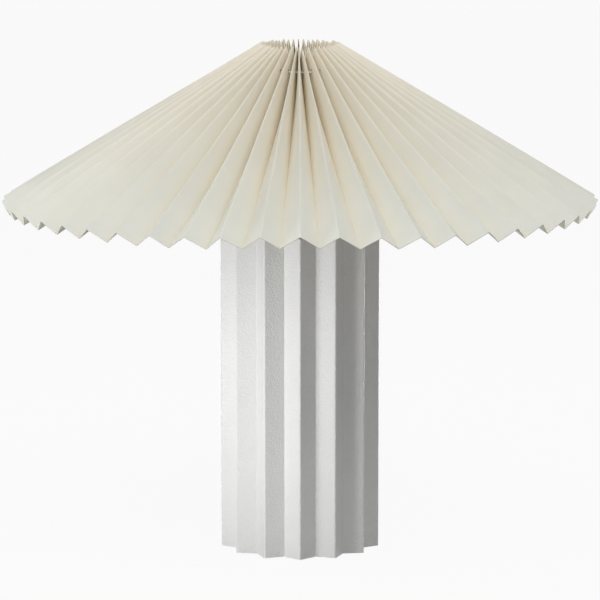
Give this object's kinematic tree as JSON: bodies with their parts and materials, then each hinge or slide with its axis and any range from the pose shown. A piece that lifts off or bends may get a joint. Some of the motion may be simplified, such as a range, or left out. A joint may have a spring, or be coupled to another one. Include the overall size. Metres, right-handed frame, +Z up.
{
  "type": "pleated table lamp",
  "caption": "Table lamp with a shallow conical pleated shade, open at the top and gathered by a cord, on a star-fluted steel column.",
  "frame": {"origin": "on the floor under the centre of the column, at the underside of the foot pads", "axes": "+Z up along the column; the front of the lamp faces -Y and the cable outlet is at the back"},
  "size_m": [0.499, 0.5, 0.4261],
  "materials": {
    "column_powder": "white powder coat with a fine sand texture",
    "zinc_steel": "zinc-plated mild steel",
    "cast_ballast": "black-painted casting",
    "pad_rubber": "matt black rubber",
    "grommet_rubber": "matt white rubber",
    "holder_plastic": "white moulded thermoplastic",
    "block_ceramic": "pale insulating moulding",
    "contact_brass": "bright brass",
    "carrier_paint": "white powder-coated wire",
    "shade_laminate": "cream pleated laminated paper, slightly translucent",
    "cord_yarn": "twisted cream cord",
    "bulb_glass": "clear blown glass",
    "stem_glass": "pressed clear glass",
    "cap_metal": "nickel-bright rolled aluminium",
    "cap_insulator": "black vitreous insulator",
    "strip_phosphor": "yellow phosphor coating"
  },
  "bodies": {
    "lamp_base": {"column_shell": "column_powder", "base_plate": "zinc_steel", "foot_pads": "pad_rubber", "base_screws": "zinc_steel", "ballast_weight": "cast_ballast", "ballast_washer": "zinc_steel", "ballast_bolt": "zinc_steel", "cable_grommet": "grommet_rubber", "top_plate": "column_powder", "top_screws": "zinc_steel", "holder_nipple": "contact_brass", "nipple_washer": "zinc_steel", "nipple_nut": "contact_brass", "nipple_bush": "holder_plastic", "holder_cap": "holder_plastic", "holder_lock_screw": "zinc_steel", "contact_block": "block_ceramic", "terminal_screws": "contact_brass", "centre_contact": "contact_brass", "side_contact": "contact_brass", "screw_shell": "contact_brass", "holder_body": "holder_plastic", "lower_shade_ring": "holder_plastic", "upper_shade_ring": "holder_plastic", "shade_carrier": "carrier_paint"},
    "bulb_tip": {"bulb_tip": "contact_brass"},
    "bulb": {"bulb_insulator": "cap_insulator", "bulb_cap": "cap_metal", "bulb_glass": "bulb_glass", "bulb_stem": "stem_glass", "bulb_wires": "cap_metal", "bulb_light_strips": "strip_phosphor"},
    "shade": {"pleated_shade": "shade_laminate", "gather_cord": "cord_yarn"}
  },
  "joints": [
    {"name": "shade_lift", "type": "slide", "parent": "lamp_base", "child": "shade", "axis": [0, 0, 1], "range_m": [0, 0.15]},
    {"name": "bulb_travel", "type": "slide", "parent": "lamp_base", "child": "bulb_tip", "axis": [0, 0, 1], "range_m": [0, 0.0146]},
    {"name": "bulb_turn", "type": "hinge", "parent": "bulb_tip", "child": "bulb", "pos_m": [0, 0, 0.32], "axis": [0, 0, 1], "range_deg": [0, 1440]}
  ],
  "couplings": [
    {"joint": "bulb_travel", "follows": "bulb_turn", "m_per_rad": 0.00057757}
  ]
}
